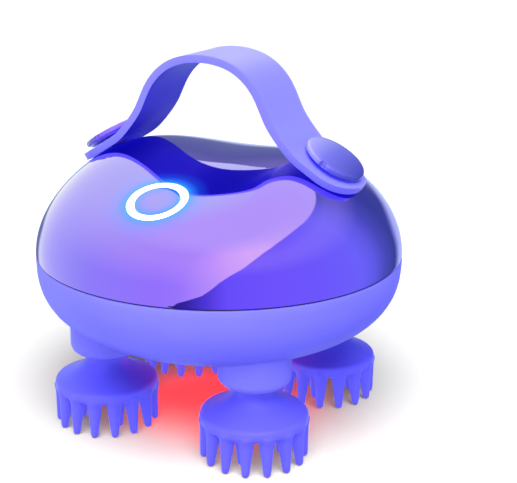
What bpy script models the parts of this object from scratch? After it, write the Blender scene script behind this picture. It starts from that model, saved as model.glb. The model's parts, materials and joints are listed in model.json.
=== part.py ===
"""Scalp massager brush: a round two-shell body with a strap handle and four turning heads.

The lengths below are in millimetres, and MM turns them into the metres of the model.
+Z is up and z = 0 is the surface that the prong tips stand on, under the body's middle.
X runs along the strap, and -Y is the side with the power button.
"""
import math

import bmesh
import bpy
from mathutils import Matrix, Vector

MM = 0.001
GAP = 0.3                     # clearance between neighbouring pieces

# Body shells
BODY_RADIUS = 60.0
SEAM_Z = 56.5                 # height of the widest line, where the shells meet
SEAM_HALF = 0.5               # half the slot that holds the gasket
WALL = 2.2
DOME_HEIGHT = 33.8
DOME_RADIAL_POWER = 2.58      # superellipse powers of the dome and the bowl
DOME_HEIGHT_POWER = 2.0
SADDLE_RISE = 19.75           # how strongly the top rises along X and falls along Y
BOWL_DEPTH = 29.3
BOWL_RADIAL_POWER = 2.63
BOWL_HEIGHT_POWER = 2.85
SHELL_STEPS = 40
SHELL_RINGS = 10

# Massage heads, on the corners of a square
HEAD_OFFSET = 27.5            # distance of a head's axis from the X and Y planes
HEAD_RADIUS = 17.0
HEAD_FACE_Z = 11.8            # flat face that carries the prongs
HEAD_RIM_Z = 15.4             # top of the side wall
NECK_RADIUS = 6.3
NECK_TOP_Z = 24.0
OUTER_PRONGS = 15
INNER_PRONGS = 6
OUTER_BASE_RADIUS = 14.6      # ring radius of the outer prongs at the head's face
OUTER_TIP_RADIUS = 15.9       # and at their tips, which lean outwards
INNER_RING_RADIUS = 8.4
PRONG_BASE = 2.3
PRONG_SHOULDER = 1.05
PRONG_TIP = 0.6
PRONG_SHOULDER_Z = 0.8
PRONG_ROOT = 0.8              # how far a prong reaches into the head's face
PRONG_STEPS = 6
HUB_NECK = 5.0                # hard hub inside a head: its neck and its foot
HUB_NECK_Z = 17.0
HUB_FOOT = 8.0
HUB_FOOT_Z = (14.6, 16.4)

# Spindle collars under the bowl
COLLAR_RADIUS = 11.5
COLLAR_BOTTOM_Z = 24.6
COLLAR_TOP_Z = 37.2
SHAFT_RADIUS = 2.5
HEX_RADIUS = 3.1              # from the axis to a corner of the spindle's hexagon end
SPINDLE_LOW_Z = 15.2          # lower end of a spindle, inside the head's socket
SPINDLE_TOP_Z = 50.3
COLLAR_FOOT = 7.6             # radius of the collar's flat foot
SEAL_BORE = 6.8               # room for the seal, and then for the bush
SEAL_TOP_Z = 27.6
BUSH_BORE = 5.4

# Gear train
DRIVE_TEETH = 44
SPINDLE_TEETH = 20
PINION_TEETH = 12
BACKLASH = 0.35
PRESSURE_ANGLE = math.radians(20)
ADDENDUM = 0.95               # tooth height over and under the pitch circle, in modules
DEDENDUM = 1.2
GEAR_LOW_Z = 42.0
GEAR_HIGH_Z = 46.0
CENTRE_DISTANCE = HEAD_OFFSET * math.sqrt(2)
MODULE = 2 * CENTRE_DISTANCE / (DRIVE_TEETH + SPINDLE_TEETH)
MOTOR_Y = MODULE * (DRIVE_TEETH + PINION_TEETH) / 2

# Gear frame
PLATE_HALF = 35.5
PLATE_CORNER = 10.0
LOWER_PLATE_Z = (37.5, 39.5)
UPPER_PLATE_Z = (48.5, 50.5)
PLATE_POSTS = ((33.0, 0.0), (-33.0, 0.0), (0.0, -33.0))

# Strap, its caps and the power button
STRAP_HALF_WIDTH = 12.0
STRAP_THICKNESS = 2.4
STRAP_LIFT = 0.4              # space between the strap's ends and the dome
CAP_X = 38.3                  # where a cap's axis meets the dome
CAP_TILT = math.radians(31.5)  # lean of the caps and the strap's ends
CAP_RADIUS = 10.0
CAP_THICKNESS = 2.5
STUD_RADIUS = 3.0
BUTTON_Y = -38.3              # where the button's axis meets the dome
BUTTON_RADIUS = 7.0
RING_INNER = 7.3
RING_OUTER = 9.5
BUTTON_CROWN = 50.0           # radius of the dome's curve under the button
BUTTON_RISE = 0.2             # how far the button and ring stand over that curve
SKIRT_DEPTH = 3.2
STEM_RADIUS = 2.0
STEM_DEPTH = 6.0
RING_DEPTH = 4.6

# Middle line of one half of the strap's arch, as (x, z), from the crown to the dome
ARCH = ((0.0, 120.3), (7.2, 119.5), (12.6, 117.2), (16.7, 113.8), (19.6, 109.9),
        (21.7, 105.3), (23.9, 101.0), (26.8, 97.4))

# Screws, lamp, battery and charging socket
CASE_SCREWS = tuple((sx * 44.4, sy * 11.9) for sx in (1, -1) for sy in (1, -1))
CASE_BOSS_RADIUS = 3.6
SCREW_BORE = 1.75
SCREW_WELL = 3.2
SCREW_HEAD_Z = 39.7
LENS_RADIUS = 11.6
BATTERY_Y = -14.5
BATTERY_Z = 61.5
BATTERY_RADIUS = 9.15
BATTERY_LENGTH = 65.0
PORT_Z = 48.0

SIDES = {"left": -1, "right": 1}
HEADS = {
    "front_left": (-HEAD_OFFSET, -HEAD_OFFSET),
    "front_right": (HEAD_OFFSET, -HEAD_OFFSET),
    "back_right": (HEAD_OFFSET, HEAD_OFFSET),
    "back_left": (-HEAD_OFFSET, HEAD_OFFSET),
}

# name: colour, roughness, metallic
FINISHES = {
    "violet_gloss": ((0.16, 0.10, 0.85), 0.08, 0.0),
    "soft_violet": ((0.26, 0.25, 0.93), 0.55, 0.0),
    "head_silicone": ((0.15, 0.13, 0.90), 0.55, 0.0),
    "cap_gloss": ((0.12, 0.08, 0.60), 0.10, 0.4),
    "dark_rubber": ((0.03, 0.02, 0.12), 0.70, 0.0),
    "white_light": ((0.95, 0.98, 1.00), 0.30, 0.0),
    "red_lens": ((0.90, 0.03, 0.03), 0.20, 0.0),
    "white_plastic": ((0.80, 0.80, 0.78), 0.40, 0.0),
    "grey_plastic": ((0.22, 0.22, 0.25), 0.50, 0.0),
    "steel": ((0.55, 0.56, 0.58), 0.30, 1.0),
    "bronze": ((0.60, 0.38, 0.16), 0.35, 1.0),
    "board_green": ((0.02, 0.22, 0.08), 0.45, 0.0),
    "battery_wrap": ((0.05, 0.25, 0.45), 0.35, 0.0),
}


# Scene, materials and objects

def clear_scene():
    for obj in list(bpy.data.objects):
        bpy.data.objects.remove(obj, do_unlink=True)


def new_collection(name):
    collection = bpy.data.collections.new(name)
    bpy.context.scene.collection.children.link(collection)
    return collection


def make_materials():
    materials = {}
    for name, (colour, roughness, metallic) in FINISHES.items():
        material = bpy.data.materials.new(name)
        material.use_nodes = True
        shader = material.node_tree.nodes["Principled BSDF"]
        shader.inputs["Base Color"].default_value = (*colour, 1.0)
        shader.inputs["Roughness"].default_value = roughness
        shader.inputs["Metallic"].default_value = metallic
        materials[name] = material
    return materials


def add_object(name, data, finish, at=(0, 0, 0), turn=None):
    """Link a new object: a part when it has a finish, or else a hidden cutter."""
    obj = bpy.data.objects.new(name, data)
    obj.location = Vector(at) * MM
    if turn is not None:
        obj.rotation_euler = turn.to_euler()
    if finish is None:
        obj.hide_render = True
        obj.display_type = "WIRE"
        CUTTERS.objects.link(obj)
    else:
        data.materials.clear()
        data.materials.append(MATERIALS[finish])
        PARTS.objects.link(obj)
    bpy.context.view_layer.update()
    return obj


def bake(obj, merge=False):
    """Turn an object's evaluated shape into its plain mesh, smooth with sharp corners."""
    old = obj.data
    graph = bpy.context.evaluated_depsgraph_get()
    mesh = bpy.data.meshes.new_from_object(obj.evaluated_get(graph))
    if merge:
        work = bmesh.new()
        work.from_mesh(mesh)
        bmesh.ops.remove_doubles(work, verts=work.verts, dist=1e-6)
        work.to_mesh(mesh)
        work.free()
    mesh.shade_smooth()
    mesh.set_sharp_from_angle(angle=math.radians(32))
    if obj.type == "MESH":
        obj.modifiers.clear()
        obj.data = mesh
        bpy.data.meshes.remove(old)
        return obj
    name, collection = obj.name, obj.users_collection[0]
    world = obj.matrix_world.copy()
    bpy.data.objects.remove(obj)
    solid = bpy.data.objects.new(name, mesh)
    solid.matrix_world = world
    collection.objects.link(solid)
    if collection == CUTTERS:
        solid.hide_render = True
        solid.display_type = "WIRE"
    return solid


# Basic solids

def turned(name, profile, finish=None, at=(0, 0, 0), turn=None, steps=24, ring=False):
    """A profile of (radius, z), run down its outer side, turned about the local Z axis."""
    count = len(profile)
    edges = [(i, i + 1) for i in range(count - 1)]
    if ring:
        edges.append((count - 1, 0))
    mesh = bpy.data.meshes.new(name)
    mesh.from_pydata([(r * MM, 0, z * MM) for r, z in profile], edges, [])
    obj = add_object(name, mesh, finish, at, turn)
    screw = obj.modifiers.new("turn", "SCREW")
    screw.steps = steps
    screw.render_steps = steps
    screw.use_merge_vertices = True
    screw.merge_threshold = 1e-6
    return bake(obj)


def cylinder(name, radius, low, high, finish=None, at=(0, 0, 0), turn=None, steps=16):
    profile = ((0, high), (radius, high), (radius, low), (0, low))
    return turned(name, profile, finish, at, turn, steps)


def tube(name, inner, outer, low, high, finish=None, at=(0, 0, 0), turn=None, steps=16):
    profile = ((inner, high), (outer, high), (outer, low), (inner, low))
    return turned(name, profile, finish, at, turn, steps, ring=True)


def box(name, low, high, finish=None, at=(0, 0, 0), turn=None, bevel=0.0):
    """A box between two corners, with rounded edges where a bevel is given."""
    mesh = bpy.data.meshes.new(name)
    work = bmesh.new()
    bmesh.ops.create_cube(work, size=1.0)
    size = (Vector(high) - Vector(low)) * MM
    middle = (Vector(high) + Vector(low)) * MM / 2
    for vert in work.verts:
        vert.co = Vector((vert.co[i] * size[i] for i in range(3))) + middle
    work.to_mesh(mesh)
    work.free()
    obj = add_object(name, mesh, finish, at, turn)
    if bevel:
        edge = obj.modifiers.new("round", "BEVEL")
        edge.width = bevel * MM
        edge.segments = 2
    return bake(obj)


def flat_piece(name, outlines, low, high, finish=None, at=(0, 0, 0)):
    """A plate from outlines of (x, y): the first is its edge, and the others are holes."""
    curve = bpy.data.curves.new(name, "CURVE")
    curve.dimensions = "2D"
    curve.fill_mode = "BOTH"
    curve.extrude = (high - low) * MM / 2
    for outline in outlines:
        spline = curve.splines.new("POLY")
        spline.points.add(len(outline) - 1)
        for point, (x, y) in zip(spline.points, outline):
            point.co = (x * MM, y * MM, 0, 1)
        spline.use_cyclic_u = True
    place = (at[0], at[1], at[2] + (high + low) / 2)
    solid = bake(add_object(name, curve, finish, place), merge=True)
    for vert in solid.data.vertices:
        vert.co.z += (high + low) * MM / 2
    solid.location = Vector(at) * MM
    return solid


def boolean(obj, other, operation):
    modifier = obj.modifiers.new(other.name, "BOOLEAN")
    modifier.operation = operation
    modifier.object = other


def cut(obj, *cutters):
    for cutter in cutters:
        boolean(obj, cutter, "DIFFERENCE")
    return obj


def unite(obj, *additions):
    for addition in additions:
        boolean(obj, addition, "UNION")
    return obj


def copies(stem, pattern, finish):
    """Copy a finished pattern to each head's axis, and drop the pattern."""
    solid = bake(pattern).data
    bpy.data.objects.remove(pattern)
    for head, (x, y) in HEADS.items():
        add_object(stem + "_" + head, solid, finish, (x, y, 0))


# Outlines and surfaces

def circle(radius, centre=(0, 0), count=16):
    angles = (2 * math.pi * i / count for i in range(count))
    return [(centre[0] + radius * math.cos(a), centre[1] + radius * math.sin(a)) for a in angles]


def rounded_square(half, corner, steps=5):
    """A square of half-width half, with its corners rounded."""
    points = []
    for quarter in range(4):
        start = quarter * math.pi / 2
        sign_x = 1 if quarter in (0, 3) else -1
        sign_y = 1 if quarter in (0, 1) else -1
        for i in range(steps):
            angle = start + i / (steps - 1) * math.pi / 2
            points.append((sign_x * (half - corner) + corner * math.cos(angle),
                           sign_y * (half - corner) + corner * math.sin(angle)))
    return points


def gear_outline(teeth, first_tooth):
    """A spur gear's edge: four corners for each tooth, the first tooth at an angle."""
    pitch = MODULE * teeth / 2
    slope = math.tan(PRESSURE_ANGLE)
    above, below = ADDENDUM * MODULE, DEDENDUM * MODULE
    tip, root = pitch + above, pitch - below
    thick = math.pi * MODULE / 2 - BACKLASH
    tip_half = (thick / 2 - above * slope) / tip
    root_half = min((thick / 2 + below * slope) / root, 0.84 * math.pi / teeth)
    points = []
    for i in range(teeth):
        middle = first_tooth + 2 * math.pi * i / teeth
        for radius, shift in ((root, -root_half), (tip, -tip_half), (tip, tip_half), (root, root_half)):
            points.append((radius * math.cos(middle + shift), radius * math.sin(middle + shift)))
    return points


def meshing_angle(teeth, direction, tooth_faces):
    """First-tooth angle of a gear that has a tooth, or else a gap, facing a direction."""
    return direction if tooth_faces else direction + math.pi / teeth


def superellipse(width, height, radial_power, height_power, count):
    """Quarter outline from the axis, where it is flat, to the rim, where it is upright."""
    points = []
    for i in range(count + 1):
        angle = math.pi / 2 * i / count
        radius = width * math.sin(angle) ** (2 / radial_power)
        rise = height * max(math.cos(angle), 0.0) ** (2 / height_power)
        points.append((radius, rise))
    return points


def saddle(x, y):
    """How much the top rises over the turned dome at a place."""
    fade = max(1 - (x * x + y * y) / BODY_RADIUS ** 2, 0.0)
    return SADDLE_RISE * (x * x - y * y) / BODY_RADIUS ** 2 * fade ** 2


def dome_point(x, y):
    ratio = math.hypot(x, y) / BODY_RADIUS
    turned_rise = DOME_HEIGHT * (1 - ratio ** DOME_RADIAL_POWER) ** (1 / DOME_HEIGHT_POWER)
    return Vector((x, y, SEAM_Z + turned_rise + saddle(x, y)))


def dome_normal(x, y):
    step = 0.01
    along_x = dome_point(x + step, y) - dome_point(x - step, y)
    along_y = dome_point(x, y + step) - dome_point(x, y - step)
    return along_x.cross(along_y).normalized()


def facing(normal):
    """The rotation that takes the local Z axis to a direction."""
    return normal.to_track_quat("Z", "Y").to_matrix()


# Shells

def make_upper_shell():
    profile = [(r, SEAM_Z + rise) for r, rise in
               superellipse(BODY_RADIUS, DOME_HEIGHT, DOME_RADIAL_POWER, DOME_HEIGHT_POWER, SHELL_RINGS)]
    profile[-1] = (BODY_RADIUS, SEAM_Z + SEAM_HALF)
    shell = turned("upper_shell", profile, "violet_gloss", steps=SHELL_STEPS)
    for vert in shell.data.vertices:
        vert.co.z += saddle(vert.co.x / MM, vert.co.y / MM) * MM
    add_wall(shell)
    for index, (x, y) in enumerate(CASE_SCREWS):
        spread = 1 + CASE_BOSS_RADIUS / math.hypot(x, y)
        top = dome_point(x * spread, y * spread).z - WALL / 2
        unite(shell, cylinder(f"upper_boss_{index}", CASE_BOSS_RADIUS, SEAM_Z + 1, top,
                              at=(x, y, 0), steps=12))
    for index, (x, y) in enumerate(CASE_SCREWS):
        cut(shell, cylinder(f"upper_boss_bore_{index}", SCREW_BORE, SEAM_Z, SEAM_Z + 14,
                            at=(x, y, 0), steps=8))
    button_turn = facing(dome_normal(0, BUTTON_Y))
    cut(shell, cylinder("button_hole", RING_OUTER + GAP, -9, 9, at=dome_point(0, BUTTON_Y),
                        turn=button_turn, steps=24))
    for name, side in SIDES.items():
        foot, normal, _ = pad_axes(side)
        cut(shell, cylinder(f"stud_hole_{name}", STUD_RADIUS + GAP, -6, 6, at=foot,
                            turn=facing(normal), steps=12))
    return shell


def add_wall(shell):
    wall = shell.modifiers.new("wall", "SOLIDIFY")
    wall.thickness = WALL * MM
    wall.offset = -1
    wall.use_even_offset = True


def bowl_z(radius):
    """Height of the bowl's outer face at a distance from the axis."""
    inside = 1 - (radius / BODY_RADIUS) ** BOWL_RADIAL_POWER
    return SEAM_Z - BOWL_DEPTH * inside ** (1 / BOWL_HEIGHT_POWER)


def make_lower_shell():
    profile = [(r, SEAM_Z - rise) for r, rise in reversed(
        superellipse(BODY_RADIUS, BOWL_DEPTH, BOWL_RADIAL_POWER, BOWL_HEIGHT_POWER, SHELL_RINGS))]
    profile[0] = (BODY_RADIUS, SEAM_Z - SEAM_HALF)
    shell = turned("lower_shell", profile, "soft_violet", steps=SHELL_STEPS)
    add_wall(shell)
    for head, (x, y) in HEADS.items():
        unite(shell, make_collar(head, x, y))
    for index, (x, y) in enumerate(CASE_SCREWS):
        floor = bowl_z(math.hypot(x, y) + CASE_BOSS_RADIUS) + WALL / 2
        unite(shell, cylinder(f"lower_boss_{index}", CASE_BOSS_RADIUS + 0.6, floor, SEAM_Z - 1,
                              at=(x, y, 0), steps=12))
    for index, (x, y) in enumerate(PLATE_POSTS):
        floor = bowl_z(math.hypot(x, y)) + WALL / 2
        unite(shell, cylinder(f"plate_boss_{index}", 3.2, floor, COLLAR_TOP_Z, at=(x, y, 0), steps=8))
    for head, (x, y) in HEADS.items():
        cut(shell, make_collar_bore(head, x, y))
    for index, (x, y) in enumerate(CASE_SCREWS):
        seat = SCREW_HEAD_Z + 2.3
        well = ((0, SEAM_Z + 1), (SCREW_BORE, SEAM_Z + 1), (SCREW_BORE, seat), (SCREW_WELL, seat),
                (SCREW_WELL, 20), (0, 20))
        cut(shell, turned(f"screw_well_{index}", well, at=(x, y, 0), steps=10))
    for index, (x, y) in enumerate(PLATE_POSTS):
        cut(shell, cylinder(f"plate_boss_bore_{index}", 1.6, 32.5, 40, at=(x, y, 0), steps=6))
    cut(shell, cylinder("lens_hole", LENS_RADIUS + GAP, 20, 32, steps=24))
    cut(shell, box("port_hole", (-6.8, 52, PORT_Z - 3.8), (6.8, 64, PORT_Z + 3.8), bevel=1.6))
    return shell


def make_collar(head, x, y):
    """Boss round a spindle: it hangs under the bowl, with a rounded lower edge."""
    profile = ((0, COLLAR_TOP_Z), (COLLAR_RADIUS, COLLAR_TOP_Z), (COLLAR_RADIUS, COLLAR_BOTTOM_Z + 2.6),
               (COLLAR_RADIUS - 0.9, COLLAR_BOTTOM_Z + 1.1), (COLLAR_RADIUS - 2.6, COLLAR_BOTTOM_Z + 0.2),
               (COLLAR_FOOT, COLLAR_BOTTOM_Z), (0, COLLAR_BOTTOM_Z))
    return turned(f"collar_{head}", profile, at=(x, y, 0), steps=20)


def make_collar_bore(head, x, y):
    above, below = COLLAR_TOP_Z + 2.8, COLLAR_BOTTOM_Z - 4.6
    profile = ((0, above), (BUSH_BORE, above), (BUSH_BORE, SEAL_TOP_Z), (SEAL_BORE, SEAL_TOP_Z),
               (SEAL_BORE, below), (0, below))
    return turned(f"collar_bore_{head}", profile, at=(x, y, 0), steps=16)


def make_seam_gasket():
    half = SEAM_HALF - GAP + 0.05
    low, high = SEAM_Z - half, SEAM_Z + half
    tube("seam_gasket", BODY_RADIUS - WALL + 0.2, BODY_RADIUS - 0.5, low, high, "dark_rubber",
         steps=SHELL_STEPS)


# Strap handle

def pad_axes(side):
    """Foot of a cap's axis on the dome, the axis, and the outward way along the strap's end."""
    foot = dome_point(side * CAP_X, 0)
    normal = Vector((side * math.sin(CAP_TILT), 0, math.cos(CAP_TILT)))
    outward = Vector((side * math.cos(CAP_TILT), 0, -math.sin(CAP_TILT)))
    return foot, normal, outward


def pad_point(side, along, y):
    """A point of the strap's middle sheet at one of its ends, bent down across the dome."""
    foot, normal, outward = pad_axes(side)
    point = foot + outward * along + normal * (STRAP_LIFT + STRAP_THICKNESS / 2)
    drop = dome_point(point.x, 0).z - dome_point(point.x, y).z
    return point + Vector((0, y, -0.9 * drop))


def strap_line(side, across):
    """One line along the strap, from the crown to its round end; across runs from -1 to 1."""
    width = across * STRAP_HALF_WIDTH
    points = [Vector((side * x, width, z)) for x, z in ARCH]
    points += [pad_point(side, along, width) for along in (-9.5, -5.0)]
    for degrees in (0, 22, 42, 60, 78):
        angle = math.radians(degrees)
        points.append(pad_point(side, STRAP_HALF_WIDTH * math.sin(angle), width * math.cos(angle)))
    return points


def make_strap():
    columns = []
    for across in (-1.0, -0.5, 0.0, 0.5, 1.0):
        left, right = strap_line(-1, across), strap_line(1, across)
        columns.append(list(reversed(left)) + right[1:])
    rows = len(columns[0])
    mesh = bpy.data.meshes.new("strap_handle")
    verts = [point * MM for column in columns for point in column]
    faces = []
    for c in range(len(columns) - 1):
        for r in range(rows - 1):
            first = c * rows + r
            faces.append((first, first + 1, first + rows + 1, first + rows))
    mesh.from_pydata(verts, [], faces)
    strap = add_object("strap_handle", mesh, "soft_violet")
    band = strap.modifiers.new("thickness", "SOLIDIFY")
    band.thickness = STRAP_THICKNESS * MM
    band.offset = 0
    band.use_even_offset = True
    bake(strap)
    for name, side in SIDES.items():
        foot, normal, _ = pad_axes(side)
        cut(strap, cylinder(f"strap_hole_{name}", STUD_RADIUS + GAP, -6, 8, at=foot,
                            turn=facing(normal), steps=12))
    return strap


def make_strap_fasteners():
    """Glossy caps with studs through the strap and dome, and the nuts inside."""
    seat = STRAP_LIFT + STRAP_THICKNESS + GAP + 0.05
    disc = ((0, CAP_THICKNESS), (8.4, CAP_THICKNESS), (9.5, CAP_THICKNESS - 0.4), (CAP_RADIUS, 1.2),
            (CAP_RADIUS, 0.6), (9.4, 0), (STUD_RADIUS, 0), (STUD_RADIUS, -9.4), (0, -9.4))
    for name, side in SIDES.items():
        foot, normal, _ = pad_axes(side)
        place, turn = foot + normal * seat, facing(normal)
        turned(f"strap_cap_{name}", disc, "cap_gloss", place, turn, steps=24)
        nut = cylinder(f"strap_nut_{name}", 5.6, -9.2, -6.5, "steel", place, turn, steps=6)
        cut(nut, cylinder(f"nut_bore_{name}", STUD_RADIUS + GAP, -10, -6, at=place, turn=turn, steps=16))


# Power button

def make_button():
    """Push button, the light ring round it, and the switch and board that it works."""
    place, turn = dome_point(0, BUTTON_Y), facing(dome_normal(0, BUTTON_Y))
    normal = dome_normal(0, BUTTON_Y)

    def crown(radius):
        return -radius ** 2 / (2 * BUTTON_CROWN)

    ring = ((RING_INNER, crown(RING_INNER) + BUTTON_RISE), (RING_OUTER, crown(RING_OUTER) + BUTTON_RISE),
            (RING_OUTER, -RING_DEPTH), (RING_INNER, -RING_DEPTH))
    turned("button_light_ring", ring, "white_light", place, turn, steps=24, ring=True)
    middle = BUTTON_RADIUS * 0.58
    cap = ((0, BUTTON_RISE), (middle, crown(middle) + BUTTON_RISE), (BUTTON_RADIUS, crown(BUTTON_RADIUS)),
           (BUTTON_RADIUS, -SKIRT_DEPTH), (STEM_RADIUS, -SKIRT_DEPTH), (STEM_RADIUS, -STEM_DEPTH),
           (0, -STEM_DEPTH))
    turned("power_button", cap, "violet_gloss", place, turn, steps=24)
    switch = box("tact_switch", (-3, -3, -10.6), (3, 3, -7.9), "grey_plastic", place, turn)
    unite(switch, cylinder("switch_plunger", 1.5, -8.5, -7.1, at=place, turn=turn, steps=10))
    board_at = place - normal * 11
    box("main_pcb", (-18, -12, -1.2), (18, 13, 0), "board_green", board_at, turn)


# Massage heads

def head_profile():
    """Outer line of a head, from the neck's top down to the face that carries the prongs."""
    flare = []
    count = 4
    for i in range(count + 1):
        t = i / count
        z = NECK_TOP_Z - 1 - (NECK_TOP_Z - 1 - HEAD_RIM_Z) * t
        flare.append((NECK_RADIUS + (HEAD_RADIUS - 0.5 - NECK_RADIUS) * t ** 2.1, z))
    return ([(0, NECK_TOP_Z), (NECK_RADIUS - 0.6, NECK_TOP_Z)] + flare
            + [(HEAD_RADIUS, HEAD_RIM_Z - 0.9), (HEAD_RADIUS, HEAD_FACE_Z + 0.9),
               (HEAD_RADIUS - 0.6, HEAD_FACE_Z), (0, HEAD_FACE_Z)])


def prong_places():
    """Transforms of the prongs: a leaning outer ring and an upright inner ring."""
    lean = (OUTER_BASE_RADIUS - OUTER_TIP_RADIUS) / HEAD_FACE_Z
    shear = Matrix(((1, 0, lean, 0), (0, 1, 0, 0), (0, 0, 1, 0), (0, 0, 0, 1)))
    places = []
    for i in range(OUTER_PRONGS):
        turn = Matrix.Rotation(2 * math.pi * i / OUTER_PRONGS, 4, "Z")
        places.append(turn @ Matrix.Translation((OUTER_TIP_RADIUS * MM, 0, 0)) @ shear)
    for i in range(INNER_PRONGS):
        turn = Matrix.Rotation(2 * math.pi * (i + 0.5) / INNER_PRONGS, 4, "Z")
        places.append(turn @ Matrix.Translation((INNER_RING_RADIUS * MM, 0, 0)))
    return places


def make_prongs():
    """All of a head's prongs in one mesh, each reaching a little into the head's face."""
    root = HEAD_FACE_Z + PRONG_ROOT
    profile = ((0, root), (PRONG_BASE, root), (PRONG_SHOULDER, PRONG_SHOULDER_Z), (PRONG_TIP, 0), (0, 0))
    prong = turned("prongs", profile, steps=PRONG_STEPS)
    work = bmesh.new()
    for place in prong_places():
        first = len(work.verts)
        work.from_mesh(prong.data)
        work.verts.ensure_lookup_table()
        bmesh.ops.transform(work, matrix=place, verts=work.verts[first:])
    work.to_mesh(prong.data)
    work.free()
    return prong


def make_heads():
    head = turned("head_pattern", head_profile(), "head_silicone", steps=24)
    unite(head, make_prongs())
    foot_low, foot_high = HUB_FOOT_Z
    pocket = ((0, NECK_TOP_Z + 1), (HUB_NECK + GAP, NECK_TOP_Z + 1), (HUB_NECK + GAP, HUB_NECK_Z + GAP),
              (HUB_FOOT + GAP, foot_high + GAP), (HUB_FOOT + GAP, foot_low - GAP), (0, foot_low - GAP))
    cut(head, turned("hub_pocket", pocket, steps=12))
    copies("massage_head", head, "head_silicone")
    hub_top = NECK_TOP_Z - 0.4
    hub_profile = ((0, hub_top), (HUB_NECK, hub_top), (HUB_NECK, HUB_NECK_Z), (HUB_FOOT, foot_high),
                   (HUB_FOOT, foot_low), (0, foot_low))
    hub = turned("hub_pattern", hub_profile, "white_plastic", steps=12)
    cut(hub, cylinder("hex_socket", HEX_RADIUS + GAP, SPINDLE_LOW_Z - GAP, NECK_TOP_Z + 1, steps=6))
    copies("head_hub", hub, "white_plastic")


# Spindles and gears

def make_spindles():
    shaft = cylinder("shaft_pattern", SHAFT_RADIUS, 22, SPINDLE_TOP_Z, "steel", steps=12)
    unite(shaft, cylinder("hex_end", HEX_RADIUS, SPINDLE_LOW_Z, 24.2, steps=6))
    copies("spindle_shaft", shaft, "steel")
    inner, outer = SHAFT_RADIUS + GAP, SEAL_BORE - GAP
    bush = tube("bush_pattern", inner, BUSH_BORE - GAP, SEAL_TOP_Z + 0.4, COLLAR_TOP_Z - 0.2, "bronze")
    copies("spindle_bush", bush, "bronze")
    top, low = SEAL_TOP_Z - GAP, COLLAR_BOTTOM_Z + 0.4
    lip = ((inner, top), (outer, top), (outer, low), (4.4, low), (inner, low + 1.2))
    copies("spindle_seal", turned("seal_pattern", lip, "dark_rubber", steps=16, ring=True), "dark_rubber")
    for head, (x, y) in HEADS.items():
        first = meshing_angle(SPINDLE_TEETH, math.atan2(-y, -x), True)
        outlines = [gear_outline(SPINDLE_TEETH, first), circle(inner)]
        flat_piece(f"spindle_gear_{head}", outlines, GEAR_LOW_Z, GEAR_HIGH_Z, "white_plastic", (x, y, 0))


def make_drive():
    """Middle gear on its pin, with a gap facing each spindle and a tooth facing the motor."""
    bore = SHAFT_RADIUS + GAP
    outlines = [gear_outline(DRIVE_TEETH, 0.0), circle(bore)]
    gear = flat_piece("drive_gear", outlines, GEAR_LOW_Z, GEAR_HIGH_Z, "white_plastic")
    unite(gear, tube("drive_hub", bore, 6.5, 40.2, 47.8))
    pin = ((0, 50.2), (SHAFT_RADIUS, 50.2), (SHAFT_RADIUS, 37.2), (4.2, 37.2), (4.2, 36.0), (0, 36.0))
    turned("drive_gear_axle", pin, "steel", steps=12)


def make_motor():
    at = (0, MOTOR_Y, 0)
    first = meshing_angle(PINION_TEETH, -math.pi / 2, False)
    pinion = flat_piece("motor_pinion", [gear_outline(PINION_TEETH, first)], 41.6, 46.4, "steel", at)
    unite(pinion, cylinder("pinion_shaft", 2.0, 45, 53.0, at=at, steps=12))
    gearbox = cylinder("motor_gearbox", 12.0, 50.8, 63.5, "grey_plastic", at, steps=24)
    cut(gearbox, cylinder("gearbox_bore", 2.3, 49, 53.6, at=at, steps=12))
    can = ((0, 76.0), (2.5, 76.0), (2.5, 74.5), (9.2, 74.5), (10.0, 73.7), (10.0, 63.8), (0, 63.8))
    turned("motor_can", can, "steel", at)


def make_gear_plates():
    edge = rounded_square(PLATE_HALF, PLATE_CORNER)
    shafts = [circle(SHAFT_RADIUS + GAP, place, 12) for place in HEADS.values()]
    axle = circle(SHAFT_RADIUS + GAP, (0, 0), 12)
    screws = [circle(SCREW_BORE, post, 8) for post in PLATE_POSTS]
    lower = flat_piece("lower_gear_plate", [edge, axle, *shafts, *screws], *LOWER_PLATE_Z, "grey_plastic")
    for index, (x, y) in enumerate(PLATE_POSTS):
        unite(lower, tube(f"post_{index}", SCREW_BORE, 2.3, LOWER_PLATE_Z[1] - 0.5, UPPER_PLATE_Z[0] - GAP,
                          at=(x, y, 0), steps=8))
    upper = flat_piece("upper_gear_plate", [edge, axle, *shafts, *screws], *UPPER_PLATE_Z, "grey_plastic")
    unite(upper, cylinder("motor_seat", 13.0, *UPPER_PLATE_Z, at=(0, MOTOR_Y, 0), steps=24))
    cut(upper, cylinder("pinion_hole", 3.0, 45, 55, at=(0, MOTOR_Y, 0), steps=12))
    screw = ((0, 52.4), (2.8, 52.4), (2.8, 50.8), (1.25, 50.8), (1.25, 33.0), (0, 33.0))
    for index, (x, y) in enumerate(PLATE_POSTS):
        turned(f"plate_screw_{index + 1}", screw, "steel", (x, y, 0), steps=8)


# Power, lamp, charging socket and case screws

def make_battery():
    along_x = Matrix.Rotation(math.pi / 2, 3, "Y")
    middle = (0, BATTERY_Y, BATTERY_Z)
    half = BATTERY_LENGTH / 2
    profile = ((0, half), (2.6, half), (2.6, half - 0.9), (BATTERY_RADIUS - 0.8, half - 0.9),
               (BATTERY_RADIUS, half - 1.7), (BATTERY_RADIUS, -half), (0, -half))
    turned("battery_cell", profile, "battery_wrap", middle, along_x)
    cradle = box("battery_cradle", (-half, BATTERY_Y - 10.8, 50.8), (half, BATTERY_Y + 10.8, 57.6),
                 "grey_plastic")
    cut(cradle, cylinder("battery_room", BATTERY_RADIUS + GAP, -half - 2, half + 2, at=middle,
                         turn=along_x, steps=24))


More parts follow.
